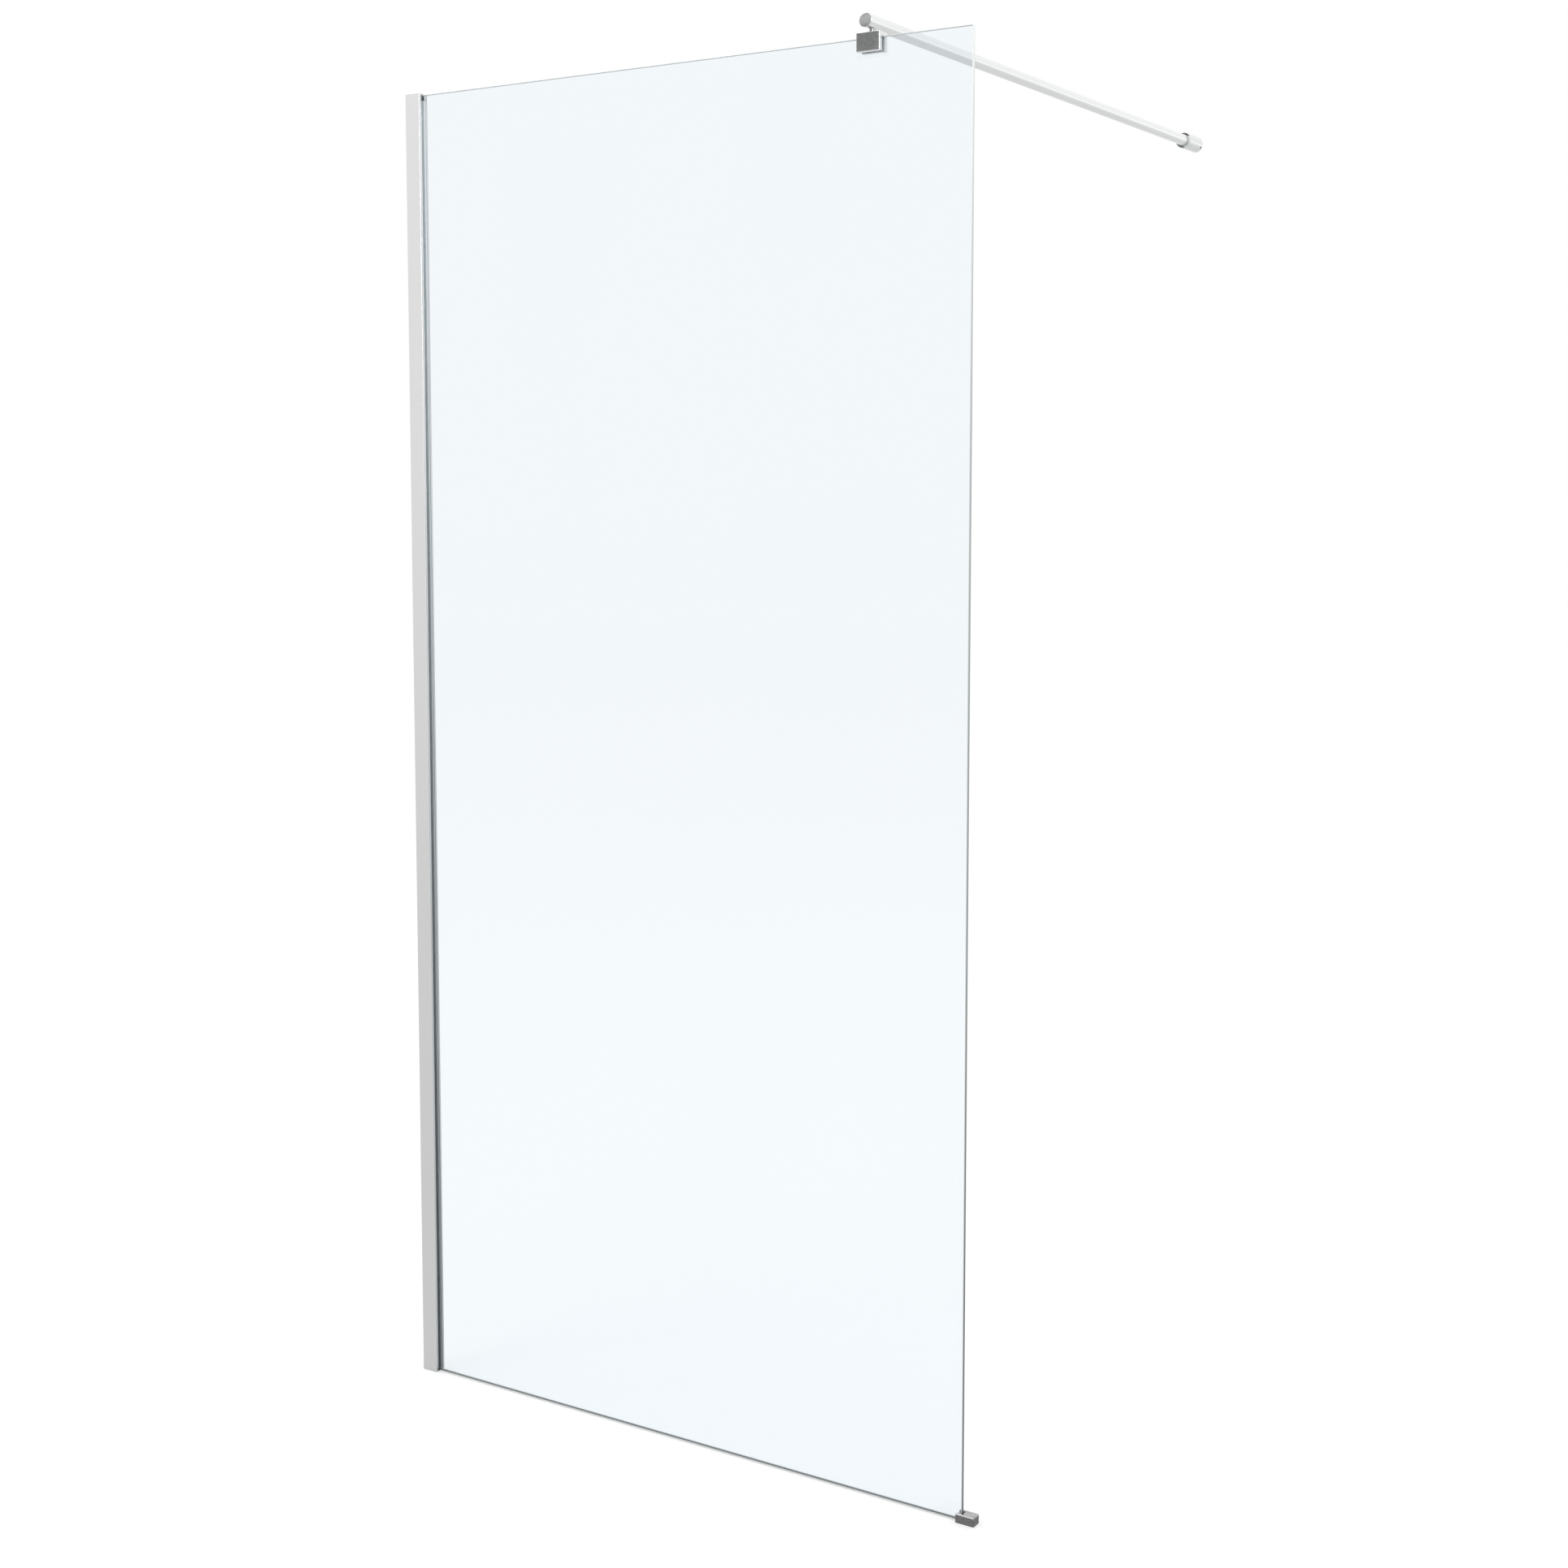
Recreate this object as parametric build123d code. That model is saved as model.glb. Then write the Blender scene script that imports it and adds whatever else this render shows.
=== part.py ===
from build123d import *
import os

os.makedirs("parts", exist_ok=True)

# Walk-in shower screen. All sizes are in mm.
# X runs from the wall face to the free edge of the glass, Y = 0 is the middle of the glass,
# -Y is the dry side, +Y is the shower side, and Z is up from the shower floor.

# Driving sizes
SCREEN_HEIGHT = 2000.0
SCREEN_WIDTH = 958.0
GLASS_THICKNESS = 6.0
BAR_LENGTH = 1200.0
BAR_DIAMETER = 19.0
BAR_RAISE = 14.0  # bar axis above the top of the clamp
BAR_FRONT = 17.7  # near end of the bar in front of the middle of the glass
CLAMP_FROM_EDGE = 151.0  # clamp centre to the free edge
OVERCUT = 1.0  # how far a cutting shape runs past the face that it cuts

# Fits
STATIC_FIT = 0.05  # radial play of a screw or plug that is fixed in its hole
SLIDING_FIT = 0.3  # play on each side of a part that slides
SWIVEL_FIT = 0.1

# Glass
GLASS_BOTTOM = 2.0
GLASS_BELOW_TOP = 3.0
GLASS_TOP = SCREEN_HEIGHT - GLASS_BELOW_TOP
GLASS_ARRIS = 0.7
GLASS_START = 10.0
HALF_GLASS = GLASS_THICKNESS / 2

# Wall profile
PROFILE_DEPTH = 27.0
PROFILE_WIDTH = 19.0
PROFILE_WALL = 1.6
PROFILE_WEB = 2.0
CAP_PLATE = 2.0
CAP_EDGE = 0.5
CAP_SKIRT = 7.5
CAP_SKIRT_GAP = 0.5  # between a skirt and the glass, and above the glazing profile
CAP_SKIRT_INSET = 1.0
PROFILE_TOP = SCREEN_HEIGHT - CAP_PLATE
PROFILE_ROUND = 0.7
WALL_HOLE = 3.0  # radius
WALL_HOLES_OUTER = 0.8 * SCREEN_HEIGHT  # spacing of the outer pair of wall screws
WALL_HOLES_INNER = 0.27 * SCREEN_HEIGHT

# Glazing profile, which slides in the wall profile
GLAZING_BACK = 4.5
GLAZING_WALL = 1.6
GLAZING_HALF = PROFILE_WIDTH / 2 - PROFILE_WALL - SLIDING_FIT
GLAZING_TOP = PROFILE_TOP - CAP_SKIRT - CAP_SKIRT_GAP
GLAZING_INNER = GLAZING_HALF - GLAZING_WALL
ADJUST_IN = 2.0
ADJUST_OUT = 12.0

# Gaskets
GASKET_START = 12.5
GASKET_INSET = 0.9
GASKET_END = PROFILE_DEPTH - GASKET_INSET
GASKET_GROOVE = 1.6
GASKET_GROOVE_DEPTH = 0.6
GASKET_GROOVE_PITCH = 4.0
GASKET_EDGE = 0.6

# Lock screws
LOCK_HEIGHTS = [share * SCREEN_HEIGHT for share in (0.075, 0.5, 0.925)]
LOCK_X = 9.0
LOCK_SHANK = 1.75  # radius
LOCK_SLOT_PLAY = 0.2
LOCK_HEAD = 3.4  # radius
LOCK_HEAD_HEIGHT = 1.9
LOCK_HEAD_ROUND = 0.9
LOCK_RECESS = 1.1
LOCK_LENGTH = 5.0
LOCK_CAP_RADIUS = 4.6
LOCK_CAP_HEIGHT = 3.0
LOCK_CAP_ROUND = 0.8
LOCK_CAP_LIFT = 0.1

# Glass clamp
CLAMP_X = SCREEN_WIDTH - CLAMP_FROM_EDGE
CLAMP_LENGTH = 35.0
CLAMP_WIDTH = 22.0
CLAMP_ABOVE_TOP = 3.0
CLAMP_TOP = SCREEN_HEIGHT + CLAMP_ABOVE_TOP
CLAMP_HEIGHT = 25.0
CLAMP_BRIDGE = 5.0
CLAMP_BOTTOM = CLAMP_TOP - CLAMP_HEIGHT
LINER_THICKNESS = 1.5
CLAMP_SLOT = HALF_GLASS + LINER_THICKNESS
CLAMP_ROUND = 0.6
PLATE_THICKNESS = 1.2
PLATE_LENGTH = 27.0
PLATE_HEIGHT = 13.0
PLATE_CORNER = 1.0
PLATE_PLAY = 0.3
GRUB_SPACING = 16.0
GRUB_RADIUS = 2.5
GRUB_EDGE = 0.4
GRUB_RECESS = 1.8
GRUB_SUNK = 0.3  # below the face that it is screwed into
HEX_SOCKET = 2.5  # across flats

# Stabiliser bar
BAR_RADIUS = BAR_DIAMETER / 2
BAR_WALL = 1.0
BAR_Z = CLAMP_TOP + BAR_RAISE
BAR_NEAR = -BAR_FRONT
BAR_FAR_WALL = BAR_NEAR + BAR_LENGTH
STEM_RADIUS = 3.0
STEM_NECK = 2.25
STEM_GROOVE = 3.0
STEM_EDGE = 0.6
STEM_ABOVE_AXIS = 5.5
STEM_TOP = BAR_Z + STEM_ABOVE_AXIS
DOG_PLAY = 0.2
DOG_LENGTH = 1.0
END_CAP_PLATE = 2.0
END_CAP_EDGE = 0.7
END_CAP_SPIGOT = 3.0
END_CAP_WALL = 2.0
INSERT_GAP = 0.2
INSERT_LENGTH = 40.0
LOCK_SUNK = 0.4
LOCK_SOCKET_DEPTH = 2.2

# Wall socket of the bar
SOCKET_RADIUS = 14.0
SOCKET_LENGTH = 60.0
SOCKET_ROUND = 1.0
SOCKET_MOUTH_PLAY = 0.4
SOCKET_LIP = 2.0
CORE_RADIUS = 12.0
CORE_LENGTH = 10.5
CORE_BORE = 2.5
CORE_SINK = 2.5
BUSH_RADIUS = 11.5
BUSH_LENGTH = 24.0
BAR_IN_SOCKET = 34.0
SOCKET_GRUB_ANGLE = -30.0  # turned about the bar, from the horizontal
SOCKET_GRUB_LENGTH = 6.5
SOCKET_GRUB_SUNK = 0.5

# Floor bracket
BRACKET_LAP = 7.0
BRACKET_LENGTH = 28.0
BRACKET_WIDTH = 17.0
BRACKET_HEIGHT = 12.5
BRACKET_BASE = 1.2
BRACKET_ROUND = 1.4
BRACKET_CORNER = 2.0
BRACKET_END_GAP = 3.0  # between the free edge of the glass and the end of the slot
BRACKET_WALL = 2.0
BRACKET_TOP_WALL = 3.0
BRACKET_BORE = 2.1
BRACKET_SINK = 2.0
BRACKET_GRUB_Z = 5.0
BRACKET_GRUB_RADIUS = 1.5
BRACKET_GRUB_LENGTH = 3.7
BRACKET_GRUB_SUNK = 0.2
BRACKET_LINER_INSET = 0.4


def block(x_span, y_span, z_span):
    """A box from three (low, high) pairs."""
    size = [high - low for low, high in (x_span, y_span, z_span)]
    middle = [(high + low) / 2 for low, high in (x_span, y_span, z_span)]
    return Pos(*middle) * Box(*size)


def rod_x(radius, y, z, x_span):
    return Pos(sum(x_span) / 2, y, z) * Rot(0, 90, 0) * Cylinder(radius, x_span[1] - x_span[0])


def rod_y(radius, x, z, y_span):
    return Pos(x, sum(y_span) / 2, z) * Rot(90, 0, 0) * Cylinder(radius, y_span[1] - y_span[0])


def rod_z(radius, x, y, z_span):
    return Pos(x, y, sum(z_span) / 2) * Cylinder(radius, z_span[1] - z_span[0])


def hex_y(across, x, z, y_span):
    """A hexagonal prism along Y."""
    prism = extrude(RegularPolygon(across / 2, 6, major_radius=False), y_span[1] - y_span[0])
    return Pos(x, y_span[1], z) * Rot(90, 0, 0) * prism


def around_y(shape, x, z, angle):
    """Turn a shape about the line through (x, z) along Y."""
    return Pos(x, 0, z) * Rot(0, -angle, 0) * Pos(-x, 0, -z) * shape


def edges_at(shape, axis, *tests):
    """The straight edges along an axis whose middle passes every test."""
    found = shape.edges().filter_by(GeomType.LINE).filter_by(axis)
    return [edge for edge in found if all(test(edge.center()) for test in tests)]


def near(value, target):
    return abs(value - target) < 0.01


def save(name, *solids):
    shape = solids[0] if len(solids) == 1 else Compound(children=list(solids))
    shape.label = name
    export_step(shape, f"parts/{name}.step")


# Wall profile: a U channel that is screwed to the wall
half_profile = PROFILE_WIDTH / 2
channel = block((0, PROFILE_DEPTH), (-half_profile, half_profile), (0, PROFILE_TOP))
channel -= block(
    (PROFILE_WEB, PROFILE_DEPTH + OVERCUT),
    (-half_profile + PROFILE_WALL, half_profile - PROFILE_WALL),
    (-OVERCUT, PROFILE_TOP + OVERCUT),
)
channel = fillet(
    edges_at(
        channel,
        Axis.Z,
        lambda p: near(p.X, PROFILE_DEPTH),
        lambda p: near(abs(p.Y), half_profile),
    ),
    PROFILE_ROUND,
)
middle_height = SCREEN_HEIGHT / 2
for spacing in (WALL_HOLES_OUTER, WALL_HOLES_INNER):
    for side in (-1, 1):
        height = middle_height + side * spacing / 2
        channel -= rod_x(WALL_HOLE, 0, height, (-OVERCUT, PROFILE_WEB + OVERCUT))
slot_half = LOCK_SHANK + LOCK_SLOT_PLAY
slot_ends = (LOCK_X - ADJUST_IN - LOCK_SLOT_PLAY, LOCK_X + ADJUST_OUT + LOCK_SLOT_PLAY)
leg_span = (half_profile - PROFILE_WALL - OVERCUT, half_profile + OVERCUT)
for height in LOCK_HEIGHTS:
    channel -= block(slot_ends, leg_span, (height - slot_half, height + slot_half))
    for end in slot_ends:
        channel -= rod_y(slot_half, end, height, leg_span)
save("wall_profile", channel)

# Top cap: a plate with two skirts that plug the channel on both sides of the glass
cap = block((0, PROFILE_DEPTH), (-half_profile, half_profile), (PROFILE_TOP, SCREEN_HEIGHT))
cap = fillet(
    edges_at(
        cap,
        Axis.Z,
        lambda p: near(p.X, PROFILE_DEPTH),
    ),
    PROFILE_ROUND,
)
cap = chamfer(cap.faces().sort_by(Axis.Z)[-1].edges(), CAP_EDGE)
skirt_outer = half_profile - PROFILE_WALL - STATIC_FIT
skirt_inner = HALF_GLASS + CAP_SKIRT_GAP
for side in (-1, 1):
    ys = sorted((side * skirt_inner, side * skirt_outer))
    cap += block(
        (PROFILE_WEB + STATIC_FIT, PROFILE_DEPTH - CAP_SKIRT_INSET),
        ys,
        (PROFILE_TOP - CAP_SKIRT, PROFILE_TOP),
    )
save("profile_top_cap", cap)

# Glazing profile: a smaller U channel round the edge of the glass
glazing = block((GLAZING_BACK, PROFILE_DEPTH), (-GLAZING_HALF, GLAZING_HALF), (0, GLAZING_TOP))
glazing -= block(
    (GLAZING_BACK + GLAZING_WALL, PROFILE_DEPTH + OVERCUT),
    (-GLAZING_INNER, GLAZING_INNER),
    (-OVERCUT, GLAZING_TOP + OVERCUT),
)
glazing_leg = (GLAZING_INNER - OVERCUT, GLAZING_HALF + OVERCUT)
for height in LOCK_HEIGHTS:
    glazing -= rod_y(LOCK_SHANK + STATIC_FIT, LOCK_X, height, glazing_leg)
save("glazing_profile", glazing)

# Setting block: carries the glass in the glazing profile
setting_block = block(
    (GLAZING_BACK + GLAZING_WALL, GASKET_END),
    (-GLAZING_INNER, GLAZING_INNER),
    (0, GLASS_BOTTOM),
)
save("glass_setting_block", setting_block)


# Gaskets: wedge strips with two ribs that grip the glazing profile
def gasket(side):
    strip = block(
        (GASKET_START, GASKET_END),
        sorted((side * HALF_GLASS, side * GLAZING_INNER)),
        (GLASS_BOTTOM, GLAZING_TOP),
    )
    groove_floor = side * (GLAZING_INNER - GASKET_GROOVE_DEPTH)
    for step in (1, 2):
        start = GASKET_START + step * GASKET_GROOVE_PITCH - GASKET_GROOVE
        strip -= block(
            (start, start + GASKET_GROOVE),
            sorted((groove_floor, side * (GLAZING_INNER + OVERCUT))),
            (0, SCREEN_HEIGHT),
        )
    mouth = edges_at(strip, Axis.Z, lambda p: near(p.X, GASKET_END))
    return chamfer(mouth, GASKET_EDGE)


save("glazing_gasket_front", gasket(-1))
save("glazing_gasket_back", gasket(1))

# Glass: one pane of toughened glass with ground edges
glass = block((GLASS_START, SCREEN_WIDTH), (-HALF_GLASS, HALF_GLASS), (GLASS_BOTTOM, GLASS_TOP))
glass = chamfer(glass.edges(), GLASS_ARRIS)
save("glass_panel", glass)

# Lock screws on the shower side, with snap caps over their heads
screws = []
caps = []
leg_face = half_profile
for height in LOCK_HEIGHTS:
    head_top = leg_face + LOCK_HEAD_HEIGHT
    head = rod_y(LOCK_HEAD, LOCK_X, height, (leg_face, head_top))
    head = fillet(head.edges().filter_by(GeomType.CIRCLE).sort_by(Axis.Y)[-1], LOCK_HEAD_ROUND)
    screw = head + rod_y(LOCK_SHANK, LOCK_X, height, (leg_face - LOCK_LENGTH, leg_face))
    screw -= hex_y(HEX_SOCKET, LOCK_X, height, (head_top - LOCK_RECESS, head_top + OVERCUT))
    screws.append(screw)
    cover_span = (leg_face + LOCK_CAP_LIFT, leg_face + LOCK_CAP_HEIGHT)
    cover = rod_y(LOCK_CAP_RADIUS, LOCK_X, height, cover_span)
    cover = fillet(cover.edges().filter_by(GeomType.CIRCLE).sort_by(Axis.Y)[-1], LOCK_CAP_ROUND)
    hollow = (leg_face - OVERCUT, head_top + STATIC_FIT)
    cover -= rod_y(LOCK_HEAD + STATIC_FIT, LOCK_X, height, hollow)
    caps.append(cover)
save("profile_lock_screws", *screws)
save("lock_screw_caps", *caps)

# Clamp body: a fork over the top edge of the glass
clamp_half = CLAMP_WIDTH / 2
clamp_xs = (CLAMP_X - CLAMP_LENGTH / 2, CLAMP_X + CLAMP_LENGTH / 2)
slot_top = CLAMP_TOP - CLAMP_BRIDGE
clamp = block(clamp_xs, (-clamp_half, clamp_half), (CLAMP_BOTTOM, CLAMP_TOP))
clamp = fillet(clamp.edges(), CLAMP_ROUND)
clamp -= block(
    (clamp_xs[0] - OVERCUT, clamp_xs[1] + OVERCUT),
    (-CLAMP_SLOT, CLAMP_SLOT),
    (CLAMP_BOTTOM - OVERCUT, slot_top),
)
plate_z = (CLAMP_BOTTOM + slot_top) / 2
plate_back = CLAMP_SLOT + PLATE_THICKNESS
clamp -= block(
    (CLAMP_X - PLATE_LENGTH / 2 - PLATE_PLAY, CLAMP_X + PLATE_LENGTH / 2 + PLATE_PLAY),
    (0, plate_back + PLATE_PLAY),
    (plate_z - PLATE_HEIGHT / 2 - PLATE_PLAY, plate_z + PLATE_HEIGHT / 2 + PLATE_PLAY),
)
grub_xs = (CLAMP_X - GRUB_SPACING / 2, CLAMP_X + GRUB_SPACING / 2)
for x in grub_xs:
    clamp -= rod_y(GRUB_RADIUS, x, plate_z, (CLAMP_SLOT, clamp_half + OVERCUT))
clamp -= rod_z(STEM_RADIUS, CLAMP_X, 0, (slot_top - OVERCUT, CLAMP_TOP + OVERCUT))
save("clamp_body", clamp)

# Clamp liner: a soft U between the clamp and the glass
liner_xs = (clamp_xs[0] + CLAMP_ROUND, clamp_xs[1] - CLAMP_ROUND)
liner = block(liner_xs, (-CLAMP_SLOT, CLAMP_SLOT), (CLAMP_BOTTOM + CLAMP_ROUND, slot_top))
liner -= block(
    (liner_xs[0] - OVERCUT, liner_xs[1] + OVERCUT),
    (-HALF_GLASS, HALF_GLASS),
    (CLAMP_BOTTOM - OVERCUT, GLASS_TOP),
)
save("clamp_liner", liner)

# Pressure plate and grub screws in the back leg of the clamp
plate = block(
    (CLAMP_X - PLATE_LENGTH / 2, CLAMP_X + PLATE_LENGTH / 2),
    (CLAMP_SLOT, plate_back),
    (plate_z - PLATE_HEIGHT / 2, plate_z + PLATE_HEIGHT / 2),
)
plate = chamfer(edges_at(plate, Axis.Y), PLATE_CORNER)
save("clamp_pressure_plate", plate)


def grub_y(x, z, y_span, radius=GRUB_RADIUS):
    """A socket set screw along Y with its hexagon socket at the +Y end."""
    screw = rod_y(radius - STATIC_FIT, x, z, y_span)
    screw = chamfer(screw.edges().filter_by(GeomType.CIRCLE), GRUB_EDGE)
    return screw - hex_y(radius, x, z, (y_span[1] - GRUB_RECESS, y_span[1] + OVERCUT))


grub_span = (plate_back, clamp_half - GRUB_SUNK)
save("clamp_grub_screws", *[grub_y(x, plate_z, grub_span) for x in grub_xs])

# Swivel stem: the pin that carries the bar on the clamp
stem = rod_z(STEM_RADIUS - STATIC_FIT, CLAMP_X, 0, (slot_top, CLAMP_TOP))
stem += rod_z(STEM_RADIUS, CLAMP_X, 0, (CLAMP_TOP, STEM_TOP))
groove_zs = (BAR_Z - STEM_GROOVE / 2, BAR_Z + STEM_GROOVE / 2)
groove = rod_z(STEM_RADIUS + OVERCUT, CLAMP_X, 0, groove_zs)
stem -= groove - rod_z(STEM_NECK, CLAMP_X, 0, groove_zs)
stem = chamfer(stem.edges().filter_by(GeomType.CIRCLE).sort_by(Axis.Z)[-1], STEM_EDGE)
save("swivel_stem", stem)

# Bar: a round tube that lies across the top of the glass
tube_near = BAR_NEAR + END_CAP_PLATE
socket_mouth = BAR_FAR_WALL - SOCKET_LENGTH
tube_far = socket_mouth + BAR_IN_SOCKET
bore_radius = BAR_RADIUS - BAR_WALL
tube = rod_y(BAR_RADIUS, CLAMP_X, BAR_Z, (tube_near, tube_far))
tube -= rod_y(bore_radius, CLAMP_X, BAR_Z, (tube_near - OVERCUT, tube_far + OVERCUT))
stem_hole = STEM_RADIUS + SWIVEL_FIT
tube -= rod_z(stem_hole, CLAMP_X, 0, (BAR_Z - BAR_RADIUS - OVERCUT, BAR_Z))
save("bar_tube", tube)

# Insert: the plug in the near end of the bar that turns on the stem
insert_near = tube_near + END_CAP_SPIGOT + INSERT_GAP
insert_span = (insert_near, insert_near + INSERT_LENGTH)
insert = rod_y(bore_radius - STATIC_FIT, CLAMP_X, BAR_Z, insert_span)
insert -= rod_z(stem_hole, CLAMP_X, 0, (BAR_Z - BAR_RADIUS, STEM_TOP + INSERT_GAP))
insert -= rod_y(GRUB_RADIUS, CLAMP_X, BAR_Z, (insert_near - OVERCUT, 0))
save("bar_insert", insert)

# Lock screw: its dog point runs in the groove of the stem
dog_tip = -STEM_NECK - SWIVEL_FIT
body_tip = dog_tip - DOG_LENGTH
lock_near = insert_near + LOCK_SUNK
lock = rod_y(GRUB_RADIUS - STATIC_FIT, CLAMP_X, BAR_Z, (lock_near, body_tip))
lock = chamfer(lock.edges().filter_by(GeomType.CIRCLE), GRUB_EDGE)
lock += rod_y(STEM_GROOVE / 2 - DOG_PLAY, CLAMP_X, BAR_Z, (body_tip - DOG_LENGTH, dog_tip))
lock -= hex_y(HEX_SOCKET, CLAMP_X, BAR_Z, (insert_near, lock_near + LOCK_SOCKET_DEPTH))
save("bar_lock_screw", lock)

# End cap of the bar
end_cap = rod_y(BAR_RADIUS, CLAMP_X, BAR_Z, (BAR_NEAR, tube_near))
end_cap = chamfer(end_cap.edges().filter_by(GeomType.CIRCLE).sort_by(Axis.Y)[0], END_CAP_EDGE)
spigot_span = (tube_near, tube_near + END_CAP_SPIGOT)
end_cap += rod_y(bore_radius - STATIC_FIT, CLAMP_X, BAR_Z, spigot_span)
hollow_span = (tube_near, tube_near + END_CAP_SPIGOT + OVERCUT)
end_cap -= rod_y(bore_radius - END_CAP_WALL, CLAMP_X, BAR_Z, hollow_span)
save("bar_end_cap", end_cap)

# Wall socket: the sleeve at the far end of the bar
socket = rod_y(SOCKET_RADIUS, CLAMP_X, BAR_Z, (socket_mouth, BAR_FAR_WALL))
socket = fillet(socket.edges().filter_by(GeomType.CIRCLE).sort_by(Axis.Y)[0], SOCKET_ROUND)
mouth_span = (socket_mouth - OVERCUT, BAR_FAR_WALL)
socket -= rod_y(BAR_RADIUS + SOCKET_MOUTH_PLAY, CLAMP_X, BAR_Z, mouth_span)
bush_start = socket_mouth + SOCKET_LIP
core_start = BAR_FAR_WALL - CORE_LENGTH
socket -= rod_y(BUSH_RADIUS, CLAMP_X, BAR_Z, (bush_start, core_start))
socket -= rod_y(CORE_RADIUS, CLAMP_X, BAR_Z, (core_start, BAR_FAR_WALL + OVERCUT))
grub_y_mid = BAR_FAR_WALL - CORE_LENGTH / 2
grub_outer = SOCKET_RADIUS - SOCKET_GRUB_SUNK
grub_inner = grub_outer - SOCKET_GRUB_LENGTH
grub_hole = Pos(CLAMP_X + SOCKET_RADIUS, grub_y_mid, BAR_Z) * Rot(0, 90, 0)
grub_hole = grub_hole * Cylinder(GRUB_RADIUS, 2 * (SOCKET_RADIUS - grub_inner))
grub_hole = around_y(grub_hole, CLAMP_X, BAR_Z, SOCKET_GRUB_ANGLE)
socket -= grub_hole
save("wall_socket", socket)

# Socket bush: guides the end of the bar
bush_span = (bush_start, bush_start + BUSH_LENGTH)
bush = rod_y(BUSH_RADIUS - STATIC_FIT, CLAMP_X, BAR_Z, bush_span)
bush_cut = (bush_span[0] - OVERCUT, bush_span[1] + OVERCUT)
bush -= rod_y(BAR_RADIUS + SWIVEL_FIT, CLAMP_X, BAR_Z, bush_cut)
save("socket_bush", bush)

# Socket core: screwed to the wall inside the socket
core = rod_y(CORE_RADIUS - STATIC_FIT, CLAMP_X, BAR_Z, (core_start, BAR_FAR_WALL))
core -= rod_y(CORE_BORE, CLAMP_X, BAR_Z, (core_start - OVERCUT, BAR_FAR_WALL + OVERCUT))
sink = Pos(CLAMP_X, core_start + CORE_SINK / 2, BAR_Z) * Rot(90, 0, 0)
core -= sink * Cone(CORE_BORE, CORE_BORE + CORE_SINK, CORE_SINK)
core -= grub_hole
save("socket_core", core)

# Socket grub screw
socket_grub = Rot(0, 90, 0) * Cylinder(GRUB_RADIUS - STATIC_FIT, SOCKET_GRUB_LENGTH)
socket_grub = chamfer(socket_grub.edges().filter_by(GeomType.CIRCLE), GRUB_EDGE)
socket_grub = Pos(CLAMP_X + (grub_outer + grub_inner) / 2, grub_y_mid, BAR_Z) * socket_grub
recess = extrude(RegularPolygon(HEX_SOCKET / 2, 6, major_radius=False), GRUB_RECESS + OVERCUT)
recess = Pos(CLAMP_X + grub_outer - GRUB_RECESS, grub_y_mid, BAR_Z) * Rot(0, 90, 0) * recess
socket_grub -= recess
save("socket_grub_screw", around_y(socket_grub, CLAMP_X, BAR_Z, SOCKET_GRUB_ANGLE))

# Floor bracket: a small block with a slot for the bottom corner of the glass
bracket_xs = (SCREEN_WIDTH - BRACKET_LAP, SCREEN_WIDTH - BRACKET_LAP + BRACKET_LENGTH)
bracket_half = BRACKET_WIDTH / 2
bracket = block(bracket_xs, (-bracket_half, bracket_half), (0, BRACKET_HEIGHT))
outer_corners = edges_at(bracket, Axis.Z, lambda p: near(p.X, bracket_xs[1]))
bracket = fillet(outer_corners, BRACKET_CORNER)
bracket = fillet(bracket.faces().sort_by(Axis.Z)[-1].edges(), BRACKET_ROUND)
slot_half_y = HALF_GLASS + (GLASS_BOTTOM - BRACKET_BASE)
slot_end = SCREEN_WIDTH + BRACKET_END_GAP
bracket -= block(
    (bracket_xs[0] - OVERCUT, slot_end),
    (-slot_half_y, slot_half_y),
    (BRACKET_BASE, BRACKET_HEIGHT + OVERCUT),
)
pocket_xs = (slot_end + BRACKET_WALL, bracket_xs[1] - BRACKET_WALL)
pocket_y = bracket_half - BRACKET_WALL
pocket_z = BRACKET_HEIGHT - BRACKET_TOP_WALL
bracket -= block(pocket_xs, (-pocket_y, pocket_y), (-OVERCUT, pocket_z))
pocket_mid = sum(pocket_xs) / 2
bracket_grub_out = bracket_half - BRACKET_GRUB_SUNK
bracket_grub_in = bracket_grub_out - BRACKET_GRUB_LENGTH
grub_cut_span = (bracket_grub_in, bracket_half + OVERCUT)
grub_cut = rod_y(BRACKET_GRUB_RADIUS, pocket_mid, BRACKET_GRUB_Z, grub_cut_span)
bracket -= grub_cut
save("floor_bracket", bracket)

# Bracket liner: a soft U under and beside the glass
bracket_liner = block(
    (bracket_xs[0] + BRACKET_LINER_INSET, slot_end),
    (-slot_half_y, slot_half_y),
    (BRACKET_BASE, BRACKET_HEIGHT - BRACKET_ROUND),
)
bracket_liner -= block(
    (bracket_xs[0] - OVERCUT, slot_end + OVERCUT),
    (-HALF_GLASS, HALF_GLASS),
    (GLASS_BOTTOM, BRACKET_HEIGHT + OVERCUT),
)
save("floor_bracket_liner", bracket_liner)

# Fixing block: screwed to the floor inside the bracket
fixing = block(
    (pocket_xs[0] + STATIC_FIT, pocket_xs[1] - STATIC_FIT),
    (-pocket_y + STATIC_FIT, pocket_y - STATIC_FIT),
    (0, pocket_z - STATIC_FIT),
)
fixing -= rod_z(BRACKET_BORE, pocket_mid, 0, (-OVERCUT, BRACKET_HEIGHT))
sink_z = pocket_z - STATIC_FIT - BRACKET_SINK / 2
sink = Cone(BRACKET_BORE, BRACKET_BORE + BRACKET_SINK, BRACKET_SINK)
fixing -= Pos(pocket_mid, 0, sink_z) * sink
fixing -= grub_cut
save("floor_fixing_block", fixing)

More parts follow.
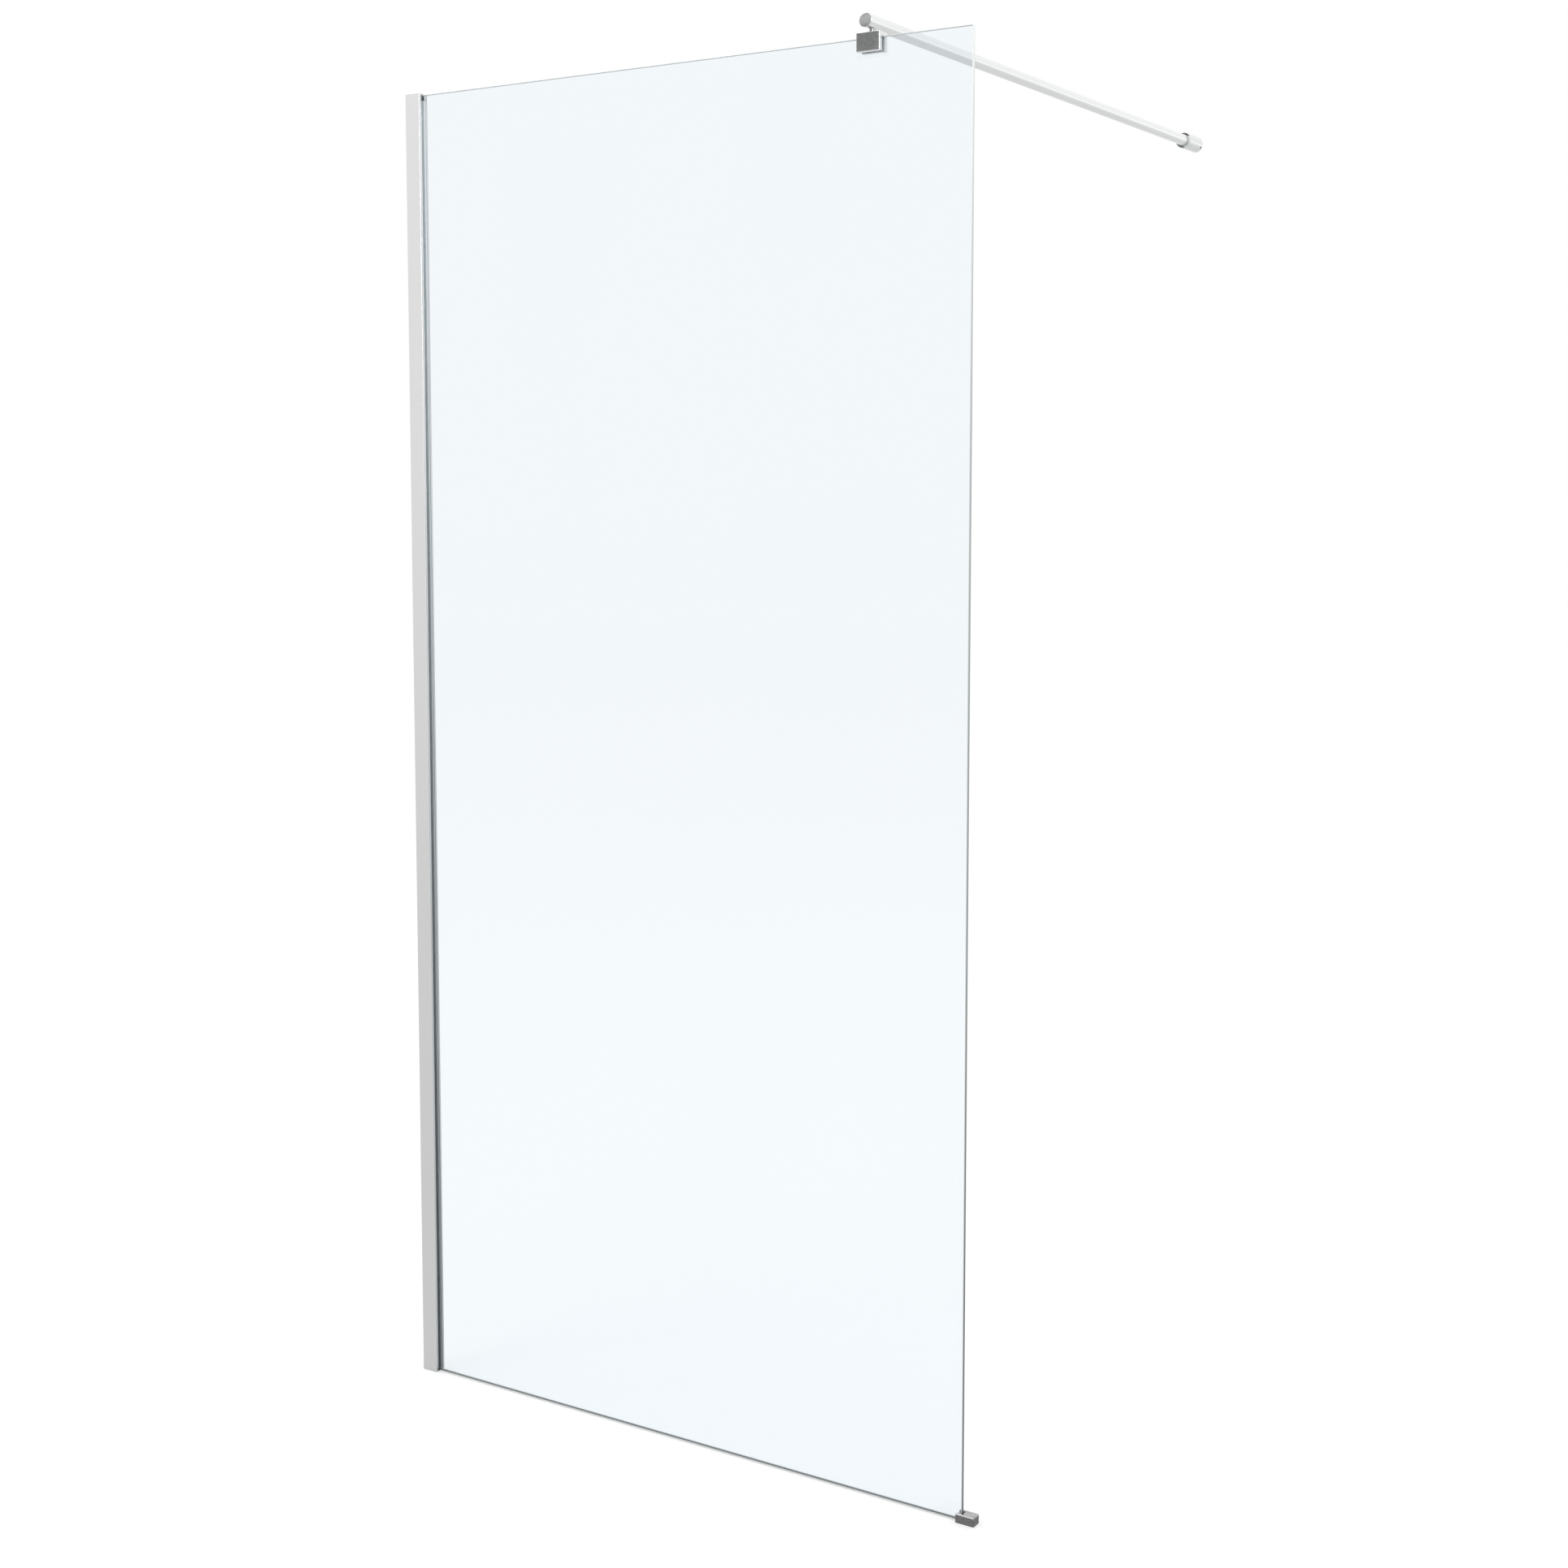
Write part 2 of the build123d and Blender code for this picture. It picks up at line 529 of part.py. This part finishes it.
# Bracket grub screw
bracket_grub_span = (bracket_grub_in, bracket_grub_out)
bracket_grub = grub_y(pocket_mid, BRACKET_GRUB_Z, bracket_grub_span, BRACKET_GRUB_RADIUS)
save("bracket_grub_screw", bracket_grub)
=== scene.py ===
import math

import bmesh
import bpy
from mathutils import Matrix, Vector


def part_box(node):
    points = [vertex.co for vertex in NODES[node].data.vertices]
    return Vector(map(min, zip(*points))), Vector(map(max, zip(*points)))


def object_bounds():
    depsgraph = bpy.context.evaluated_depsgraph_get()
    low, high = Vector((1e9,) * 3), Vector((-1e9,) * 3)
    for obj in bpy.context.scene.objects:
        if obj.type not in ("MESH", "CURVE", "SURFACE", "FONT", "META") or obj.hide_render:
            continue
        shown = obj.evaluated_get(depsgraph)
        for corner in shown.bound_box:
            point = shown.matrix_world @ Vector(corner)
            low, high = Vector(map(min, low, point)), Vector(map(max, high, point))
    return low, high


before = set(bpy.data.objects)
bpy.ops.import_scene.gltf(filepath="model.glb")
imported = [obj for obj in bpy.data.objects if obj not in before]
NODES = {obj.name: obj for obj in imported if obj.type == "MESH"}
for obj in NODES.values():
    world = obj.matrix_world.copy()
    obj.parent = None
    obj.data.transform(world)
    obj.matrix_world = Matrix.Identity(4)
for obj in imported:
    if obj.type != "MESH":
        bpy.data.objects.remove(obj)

cad_low, cad_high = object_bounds()
MM = 0.001


# Small tools

def hex_colour(text):
    """An sRGB hex value as linear RGBA."""
    parts = [int(text[i : i + 2], 16) / 255 for i in (1, 3, 5)]
    return tuple(c / 12.92 if c <= 0.04045 else ((c + 0.055) / 1.055) ** 2.4 for c in parts) + (1,)


def add(tree, kind, inputs=None, **settings):
    """Add a node with its settings. An input takes a plain value or the output that feeds it."""
    node = tree.nodes.new(kind)
    for name, value in settings.items():
        setattr(node, name, value)
    for name, value in (inputs or {}).items():
        if isinstance(value, bpy.types.NodeSocket):
            tree.links.new(value, node.inputs[name])
        else:
            node.inputs[name].default_value = value
    return node


def new_finish(name):
    """A material with an empty node tree."""
    finish = bpy.data.materials.new(name)
    finish.use_nodes = True
    finish.node_tree.nodes.clear()
    return finish, finish.node_tree


# Materials

# The noise lies mostly between these two values
NOISE_LOW, NOISE_HIGH = 0.3, 0.7


def grained(name, tones, roughness, grain_mm, relief_mm, along=(1, 1, 1), metallic=0.0, detail=2.0):
    """A finish whose grain of grain_mm moves its tone, shine and relief. A small number in along
    draws the grain out on that axis. Tones and roughness are pairs: the low and the high end.
    """
    finish, tree = new_finish(name)
    where = add(tree, "ShaderNodeTexCoord")
    drawn = add(tree, "ShaderNodeMapping", {"Vector": where.outputs["Object"], "Scale": along})
    grain = add(
        tree,
        "ShaderNodeTexNoise",
        {"Vector": drawn.outputs["Vector"], "Scale": 1 / (grain_mm * MM), "Detail": detail},
    )
    spread = add(
        tree,
        "ShaderNodeMapRange",
        {"Value": grain.outputs["Fac"], "From Min": NOISE_LOW, "From Max": NOISE_HIGH},
    )
    tone = add(tree, "ShaderNodeMix", {"Factor": spread.outputs["Result"]}, data_type="RGBA")
    tone.inputs["A"].default_value = hex_colour(tones[0])
    tone.inputs["B"].default_value = hex_colour(tones[1])
    shine = add(
        tree,
        "ShaderNodeMapRange",
        {"Value": spread.outputs["Result"], "To Min": roughness[0], "To Max": roughness[1]},
    )
    waves = add(
        tree,
        "ShaderNodeBump",
        {"Height": grain.outputs["Fac"], "Distance": relief_mm * MM, "Strength": 1.0},
    )
    surface = add(
        tree,
        "ShaderNodeBsdfPrincipled",
        {
            "Base Color": tone.outputs["Result"],
            "Metallic": metallic,
            "Roughness": shine.outputs["Result"],
            "Normal": waves.outputs["Normal"],
        },
    )
    add(tree, "ShaderNodeOutputMaterial", {"Surface": surface.outputs["BSDF"]})
    return finish


def metal(name, tones, roughness, grain_mm, relief_mm, along=(1, 1, 1)):
    """A grained metal, with a little more detail in its grain."""
    return grained(name, tones, roughness, grain_mm, relief_mm, along, metallic=1.0, detail=3.0)


# The painted shade up the pane's edges and its gaskets runs from 0 to this height in metres
PANE_HEIGHT = 2.0
PANE_TINTS = ("#f8fbfc", "#f9fbfd")
TINT_CLOUDS = 400 * MM
GLASS_IOR = 1.5
# Painted shade on the ground edge, dark at the foot and pale at the head: each tone with its place up
# the pane, from 0 at the foot to 1 at the head
EDGE_PAINTED_SHADE_FOOT, EDGE_PAINTED_LIGHT_HEAD = "#666b6b", "#e6eaea"
EDGE_PAINTED_SHADE_TONES = ((0.25, "#858a8a"), (0.5, "#aeb4b4"), (0.75, "#bac0c0"), (0.95, "#d4d9d9"))
# Painted highlight: the pale tone of the narrow bevels between edge and face
BEVEL_PAINTED_HIGHLIGHT = "#e8ecec"
EDGE_ROUGHNESS = 0.45
EDGE_GRAIN = 1.0 * MM
EDGE_RELIEF = 0.05 * MM
# How far a normal points across the pane: less on the edge, between the two on a bevel, more on a face
BEVEL_FROM, FACE_FROM = 0.4, 0.9


def float_glass():
    """Toughened float glass with ground edges.

    A thin pane passes light nearly straight, so its faces are clear with a faint blue and mirror as
    glass does. The ground edges are matt, with painted shade: their tone is darker towards the foot
    and paler at the head, standing in for the light that runs down inside the pane. The narrow bevels
    between edge and face have a painted highlight, a pale tone.
    """
    finish, tree = new_finish("float_glass")
    where = add(tree, "ShaderNodeTexCoord")
    clouds = add(
        tree,
        "ShaderNodeTexNoise",
        {"Vector": where.outputs["Object"], "Scale": 1 / TINT_CLOUDS, "Detail": 1.0},
    )
    tint = add(tree, "ShaderNodeMix", {"Factor": clouds.outputs["Fac"]}, data_type="RGBA")
    tint.inputs["A"].default_value = hex_colour(PANE_TINTS[0])
    tint.inputs["B"].default_value = hex_colour(PANE_TINTS[1])
    clear = add(tree, "ShaderNodeBsdfTransparent", {"Color": tint.outputs["Result"]})
    mirror = add(tree, "ShaderNodeBsdfGlossy", {"Color": (1, 1, 1, 1), "Roughness": 0.0})
    gloss = add(tree, "ShaderNodeFresnel", {"IOR": GLASS_IOR})
    side = add(tree, "ShaderNodeNewGeometry")
    outer = add(
        tree,
        "ShaderNodeMath",
        {0: 1.0, 1: side.outputs["Backfacing"]},
        operation="SUBTRACT",
    )
    share = add(
        tree,
        "ShaderNodeMath",
        {0: gloss.outputs["Fac"], 1: outer.outputs[0]},
        operation="MULTIPLY",
    )
    pane = add(
        tree,
        "ShaderNodeMixShader",
        {0: share.outputs[0], 1: clear.outputs["BSDF"], 2: mirror.outputs["BSDF"]},
    )
    height = add(tree, "ShaderNodeSeparateXYZ", {"Vector": where.outputs["Object"]})
    up = add(
        tree,
        "ShaderNodeMapRange",
        {"Value": height.outputs["Z"], "From Min": 0.0, "From Max": PANE_HEIGHT},
    )
    # Painted shade: the edge tone is darker towards the foot and paler at the head
    tones = add(tree, "ShaderNodeValToRGB", {"Fac": up.outputs["Result"]})
    painted_shade_ramp = tones.color_ramp
    painted_shade_ramp.elements[0].color = hex_colour(EDGE_PAINTED_SHADE_FOOT)
    painted_shade_ramp.elements[1].color = hex_colour(EDGE_PAINTED_LIGHT_HEAD)
    for place, tone in EDGE_PAINTED_SHADE_TONES:
        painted_shade_ramp.elements.new(place).color = hex_colour(tone)
    facing = add(tree, "ShaderNodeSeparateXYZ", {"Vector": where.outputs["Normal"]})
    across = add(tree, "ShaderNodeMath", {0: facing.outputs["Y"]}, operation="ABSOLUTE")
    bevel = add(
        tree,
        "ShaderNodeMath",
        {0: across.outputs[0], 1: BEVEL_FROM},
        operation="GREATER_THAN",
    )
    # Painted highlight: the bevels take a pale tone in place of the edge's painted shade
    edge_painted_light = add(tree, "ShaderNodeMix", {"Factor": bevel.outputs[0]}, data_type="RGBA")
    tree.links.new(tones.outputs["Color"], edge_painted_light.inputs["A"])
    edge_painted_light.inputs["B"].default_value = hex_colour(BEVEL_PAINTED_HIGHLIGHT)
    grit = add(
        tree,
        "ShaderNodeTexNoise",
        {"Vector": where.outputs["Object"], "Scale": 1 / EDGE_GRAIN, "Detail": 2.0},
    )
    ground = add(
        tree,
        "ShaderNodeBump",
        {"Height": grit.outputs["Fac"], "Distance": EDGE_RELIEF, "Strength": 1.0},
    )
    edge = add(
        tree,
        "ShaderNodeBsdfPrincipled",
        {
            "Base Color": edge_painted_light.outputs["Result"],
            "Roughness": EDGE_ROUGHNESS,
            "Normal": ground.outputs["Normal"],
        },
    )
    rim = add(tree, "ShaderNodeMath", {0: across.outputs[0], 1: FACE_FROM}, operation="LESS_THAN")
    glass = add(
        tree,
        "ShaderNodeMixShader",
        {0: rim.outputs[0], 1: pane.outputs["Shader"], 2: edge.outputs["BSDF"]},
    )
    add(tree, "ShaderNodeOutputMaterial", {"Surface": glass.outputs["Shader"]})
    return finish


# Painted shade on the gaskets: grey at the foot, nearly white at the head
GASKET_PAINTED_SHADE_FOOT, GASKET_PAINTED_LIGHT_HEAD = "#8d9292", "#f4f6f6"
GASKET_ROUGHNESS = 0.35
# Streaks of this size lift the painted shade by up to this much height
STREAK_SIZE = 30 * MM
STREAK_LIFT = 100 * MM


def clear_gasket():
    """Clear PVC, extruded: milky, with a soft shine. Its tone is painted shade and light: grey at the
    foot of the profile and nearly white at the head, standing in for the light that runs down inside
    the pane.
    """
    finish, tree = new_finish("clear_pvc")
    where = add(tree, "ShaderNodeTexCoord")
    height = add(tree, "ShaderNodeSeparateXYZ", {"Vector": where.outputs["Object"]})
    streaks = add(
        tree,
        "ShaderNodeTexNoise",
        {"Vector": where.outputs["Object"], "Scale": 1 / STREAK_SIZE, "Detail": 2.0},
    )
    wander = add(
        tree,
        "ShaderNodeMath",
        {0: streaks.outputs["Fac"], 1: STREAK_LIFT, 2: height.outputs["Z"]},
        operation="MULTIPLY_ADD",
    )
    up = add(
        tree,
        "ShaderNodeMapRange",
        {"Value": wander.outputs[0], "From Min": 0.0, "From Max": PANE_HEIGHT},
    )
    # Painted shade: the tone runs from grey at the foot to nearly white at the head
    tone = add(tree, "ShaderNodeMix", {"Factor": up.outputs["Result"]}, data_type="RGBA")
    tone.inputs["A"].default_value = hex_colour(GASKET_PAINTED_SHADE_FOOT)
    tone.inputs["B"].default_value = hex_colour(GASKET_PAINTED_LIGHT_HEAD)
    surface = add(
        tree,
        "ShaderNodeBsdfPrincipled",
        {"Base Color": tone.outputs["Result"], "Roughness": GASKET_ROUGHNESS},
    )
    add(tree, "ShaderNodeOutputMaterial", {"Surface": surface.outputs["BSDF"]})
    return finish


def dress(finish, *names):
    """Give CAD nodes a finish."""
    for name in names:
        for slot in NODES[name].material_slots:
            slot.material = finish


# Anodised aluminium, extruded: pale, silky, with faint die lines that run up the profile
anodised = metal(
    "anodised_aluminium",
    tones=("#e2e2e2", "#e6e6e6"),
    roughness=(0.30, 0.36),
    grain_mm=1.2,
    relief_mm=0.006,
    along=(1, 1, 0.004),
)
# Chrome plate on a die casting: a mirror, a little wavy from the casting under it
chrome = metal(
    "chrome_plate",
    tones=("#e3e4e4", "#e9eaea"),
    roughness=(0.05, 0.10),
    grain_mm=6.0,
    relief_mm=0.02,
)
# Chrome plate on drawn tube: a mirror with hair-fine lines along the bar
tube = metal(
    "chromed_tube",
    tones=("#eceded", "#f1f2f2"),
    roughness=(0.08, 0.13),
    grain_mm=0.8,
    relief_mm=0.003,
    along=(1, 0.01, 1),
)
# Satin nickel on a die casting: greyer and softer than chrome, mottled where it was tumbled
nickel = metal(
    "satin_nickel",
    tones=("#9c9c9c", "#c6c6c6"),
    roughness=(0.12, 0.24),
    grain_mm=2.2,
    relief_mm=0.05,
)
# Stainless steel screws: turned, grey, with a soft shine
steel = metal(
    "stainless_steel",
    tones=("#b4b3b1", "#c2c1bf"),
    roughness=(0.22, 0.35),
    grain_mm=0.6,
    relief_mm=0.005,
)
# Nickel plate on a turned pin: darker than chrome
pin = metal(
    "nickel_plate",
    tones=("#8c8c8b", "#9b9b9a"),
    roughness=(0.15, 0.25),
    grain_mm=0.8,
    relief_mm=0.005,
)
# Brass, turned: yellow, with a fine grain
brass = metal(
    "turned_brass",
    tones=("#cdab68", "#dcc083"),
    roughness=(0.20, 0.32),
    grain_mm=0.7,
    relief_mm=0.01,
)
# Soft PVC, extruded: smooth, pale and waxy
soft = grained(
    "soft_pvc",
    tones=("#bcc0c0", "#c8cccc"),
    roughness=(0.38, 0.5),
    grain_mm=0.8,
    relief_mm=0.01,
)
# Nylon, moulded: mid grey with a dull shine
nylon = grained(
    "moulded_nylon",
    tones=("#6d7072", "#777a7c"),
    roughness=(0.42, 0.55),
    grain_mm=0.6,
    relief_mm=0.02,
)

dress(anodised, "wall_profile", "profile_top_cap", "glazing_profile")
dress(chrome, "clamp_body", "bar_end_cap", "wall_socket", "lock_screw_caps")
dress(pin, "swivel_stem")
dress(nickel, "floor_bracket")
dress(tube, "bar_tube")
dress(steel, "profile_lock_screws", "clamp_pressure_plate", "clamp_grub_screws")
dress(steel, "bar_lock_screw", "socket_grub_screw", "bracket_grub_screw")
dress(brass, "bar_insert", "socket_core", "floor_fixing_block")
dress(clear_gasket(), "glazing_gasket_front", "glazing_gasket_back")
dress(soft, "clamp_liner", "floor_bracket_liner")
dress(nylon, "glass_setting_block", "socket_bush")
dress(float_glass(), "glass_panel")


# Studio

CAMERA_PLACE = (2.2076, -2.4846, 1.4054)
# How bright the world is for what isn't seen, mirrored or looked through
FILL = 0.78
# The floor: its size, its gap under the part, its paint, its own glow where it is seen, and the share
# of that glow that mirrors see, rising from NEAR_SHARE at NEAR_FLOOR to all of it at FAR_FLOOR
FLOOR_SIZE = 80.0
FLOOR_GAP = 0.1 * MM
FLOOR_PAINT = "#e7e7e7"
FLOOR_GLOW = 0.375
NEAR_SHARE = 0.2
NEAR_FLOOR, FAR_FLOOR = 4.0, 20.0
# The cards for flat fronts: how far they stand off, and how much they are grown on each side
FLAG_REACH = 0.3
FLAG_MARGIN = 0.007
# The painted-shade card round the floor bracket lies just above the floor
BRACKET_SHADE_CARD_GAP = 0.05 * MM
# Watts per square metre of lamp for a radiance of 1
LAMP_WATTS = 4


def studio_world():
    """White where it is seen, mirrored or looked through, and a soft fill for everything else."""
    world = bpy.data.worlds.new("studio_world")
    bpy.context.scene.world = world
    world.use_nodes = True
    tree = world.node_tree
    tree.nodes.clear()
    ray = add(tree, "ShaderNodeLightPath")
    seen = add(
        tree,
        "ShaderNodeMath",
        {0: ray.outputs["Is Camera Ray"], 1: ray.outputs["Is Glossy Ray"]},
        operation="MAXIMUM",
    )
    shown = add(
        tree,
        "ShaderNodeMath",
        {0: seen.outputs[0], 1: ray.outputs["Is Transmission Ray"]},
        operation="MAXIMUM",
    )
    level = add(
        tree,
        "ShaderNodeMapRange",
        {"Value": shown.outputs[0], "To Min": FILL, "To Max": 1.0},
    )
    sky = add(
        tree,
        "ShaderNodeBackground",
        {"Color": (1, 1, 1, 1), "Strength": level.outputs["Result"]},
    )
    add(tree, "ShaderNodeOutputWorld", {"Surface": sky.outputs[0]})


def floor_finish():
    """Pale matt floor that glows up to white where it is seen, and in mirrors only far away: close to
    the part they see a small share of the glow.
    """
    finish, tree = new_finish("pale_floor")
    where = add(tree, "ShaderNodeTexCoord")
    away = add(tree, "ShaderNodeVectorMath", {0: where.outputs["Object"]}, operation="LENGTH")
    far = add(
        tree,
        "ShaderNodeMapRange",
        {
            "Value": away.outputs["Value"],
            "From Min": NEAR_FLOOR,
            "From Max": FAR_FLOOR,
            "To Min": NEAR_SHARE,
        },
    )
    ray = add(tree, "ShaderNodeLightPath")
    mirrored = add(
        tree,
        "ShaderNodeMath",
        {0: far.outputs["Result"], 1: ray.outputs["Is Glossy Ray"]},
        operation="MULTIPLY",
    )
    seen = add(
        tree,
        "ShaderNodeMath",
        {0: ray.outputs["Is Camera Ray"], 1: ray.outputs["Is Transmission Ray"]},
        operation="MAXIMUM",
    )
    shown = add(
        tree,
        "ShaderNodeMath",
        {0: seen.outputs[0], 1: mirrored.outputs[0]},
        operation="MAXIMUM",
    )
    strength = add(
        tree,
        "ShaderNodeMath",
        {0: shown.outputs[0], 1: FLOOR_GLOW},
        operation="MULTIPLY",
    )
    glow = add(
        tree,
        "ShaderNodeEmission",
        {"Color": (1, 1, 1, 1), "Strength": strength.outputs[0]},
    )
    paint = add(tree, "ShaderNodeBsdfDiffuse", {"Color": hex_colour(FLOOR_PAINT)})
    both = add(tree, "ShaderNodeAddShader", {0: paint.outputs[0], 1: glow.outputs[0]})
    add(tree, "ShaderNodeOutputMaterial", {"Surface": both.outputs[0]})
    return finish


def card_finish(tone, strength=1.0):
    """Plain glow in one tone, so that a card looks the same whatever light falls on it."""
    finish, tree = new_finish("studio_card")
    glow = add(tree, "ShaderNodeEmission", {"Color": hex_colour(tone), "Strength": strength})
    add(tree, "ShaderNodeOutputMaterial", {"Surface": glow.outputs[0]})
    return finish


def sheet(name, finish, width, height, middle, upright=None):
    """A flat studio sheet: lying down, or stood up by turning it about the axis named by upright."""
    work = bmesh.new()
    # A square of 1 m, stretched afterwards
    bmesh.ops.create_grid(work, x_segments=1, y_segments=1, size=0.5)
    bmesh.ops.scale(work, vec=(width, height, 1), verts=work.verts)
    if upright:
        turn = Matrix.Rotation(math.radians(90), 3, upright)
        bmesh.ops.rotate(work, cent=(0, 0, 0), matrix=turn, verts=work.verts)
    bmesh.ops.translate(work, vec=middle, verts=work.verts)
    mesh = bpy.data.meshes.new(name)
    work.to_mesh(mesh)
    work.free()
    mesh.materials.append(finish)
    card = bpy.data.objects.new(name, mesh)
    bpy.context.collection.objects.link(card)
    return card


def mirrors_only(card):
    """Hide a card from everything but mirrors."""
    card.visible_camera = False
    card.visible_diffuse = False
    card.visible_shadow = False
    card.visible_transmission = False
    card.visible_volume_scatter = False


def front_flag(node, tone):
    """A card that one flat front face mirrors to the camera: the camera's line to the face goes on
    by FLAG_REACH after the mirror, and the card there is as large as the face looks from that far.
    """
    low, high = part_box(node)
    face = Vector(((low.x + high.x) / 2, low.y, (low.z + high.z) / 2))
    sight = face - Vector(CAMERA_PLACE)
    onward = Vector((sight.x, -sight.y, sight.z)).normalized()
    growth = (sight.length + FLAG_REACH) / sight.length
    width = (high.x - low.x) * growth + 2 * FLAG_MARGIN
    height = (high.z - low.z) * growth + 2 * FLAG_MARGIN
    place = face + onward * FLAG_REACH
    mirrors_only(sheet(node + "_flag", card_finish(tone), width, height, place, "X"))


def softbox(name, middle, aim, width, height, radiance, spread=180, mirrored=False):
    """An area lamp of a given radiance, hidden from the camera, and from mirrors too unless it is
    to be mirrored. Its spread is in degrees.
    """
    lamp = bpy.data.lights.new(name, "AREA")
    lamp.shape = "RECTANGLE"
    lamp.size, lamp.size_y = width, height
    lamp.energy = radiance * LAMP_WATTS * width * height
    lamp.spread = math.radians(spread)
    holder = bpy.data.objects.new(name, lamp)
    bpy.context.collection.objects.link(holder)
    holder.location = middle
    holder.rotation_mode = "QUATERNION"
    holder.rotation_quaternion = (Vector(aim) - Vector(middle)).to_track_quat("-Z", "Y")
    holder.visible_camera = False
    holder.visible_glossy = mirrored


studio_world()
sheet("studio_floor", floor_finish(), FLOOR_SIZE, FLOOR_SIZE, (0, 0, cad_low.z - FLOOR_GAP))

# Cards that only mirrors see. One grey card for each flat front
front_flag("clamp_body", "#838383")
front_flag("bar_end_cap", "#bcbcbc")
front_flag("wall_socket", "#6a6a6a")
# A tall grey card on the left, which darkens the edges that face it
wall_flag = sheet(
    "wall_flag",
    card_finish("#8a8a8a"),
    width=3.2,
    height=3.4,
    middle=(-2.6, 0.1, 1.7),
    upright="Y",
)
mirrors_only(wall_flag)
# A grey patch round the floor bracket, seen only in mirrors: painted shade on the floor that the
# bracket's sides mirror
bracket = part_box("floor_bracket")
bracket_shade_card = sheet(
    "bracket_shade_card",
    card_finish("#9c9c9c"),
    width=0.11,
    height=0.1,
    middle=((bracket[0].x + bracket[1].x) / 2, 0, cad_low.z - BRACKET_SHADE_CARD_GAP),
)
mirrors_only(bracket_shade_card)
# A bright sheet overhead, for what faces up
overhead_card = sheet(
    "overhead_card",
    card_finish("#ffffff", 2.6),
    width=1.4,
    height=4.0,
    middle=(-0.4, -0.2, 3.2),
)
mirrors_only(overhead_card)
# A bright strip level with the bar, which draws a soft line along it
horizon_card = sheet(
    "horizon_card",
    card_finish("#ffffff", 1.15),
    width=9.0,
    height=0.5,
    middle=(3.6, 6.0, 1.97),
    upright="X",
)
mirrors_only(horizon_card)

# The key light, high on the left in front
softbox(
    "key_softbox",
    middle=(-2.9, -6.6, 8.0),
    aim=(0.5, 0.2, 1.0),
    width=4.6,
    height=4.6,
    radiance=1.0,
)
# A light from behind, for the bar
softbox(
    "rim_softbox",
    middle=(2.9, 3.9, 2.7),
    aim=(0.7, 0.3, 1.9),
    width=2.6,
    height=0.6,
    radiance=1.3,
)
# A narrow light on the head of the wall profile
softbox(
    "side_softbox",
    middle=(3.0, -0.9, 2.35),
    aim=(0.03, 0, 2.0),
    width=0.8,
    height=0.8,
    radiance=0.6,
    spread=36,
    mirrored=True,
)


# Camera

PICTURE_WIDTH = 1932
FOCAL_PIXELS = 2600.4
SENSOR_MM = 36.0
# Degrees: the camera looks down by TILT and to the left by TURN
TILT, TURN = 4.86, 32.05
SHIFT_X, SHIFT_Y = 0.0074, -0.075
NEAREST, FARTHEST = 0.05, 200.0

camera_data = bpy.data.cameras.new("camera")
camera = bpy.data.objects.new("camera", camera_data)
bpy.context.collection.objects.link(camera)
bpy.context.scene.camera = camera
camera_data.sensor_width = SENSOR_MM
camera_data.lens = FOCAL_PIXELS / PICTURE_WIDTH * SENSOR_MM
camera_data.shift_x = SHIFT_X
camera_data.shift_y = SHIFT_Y
camera_data.clip_start = NEAREST
camera_data.clip_end = FARTHEST
camera.location = CAMERA_PLACE
camera.rotation_euler = (math.radians(90 - TILT), 0, math.radians(TURN))

bpy.context.scene.view_settings.view_transform = "Standard"
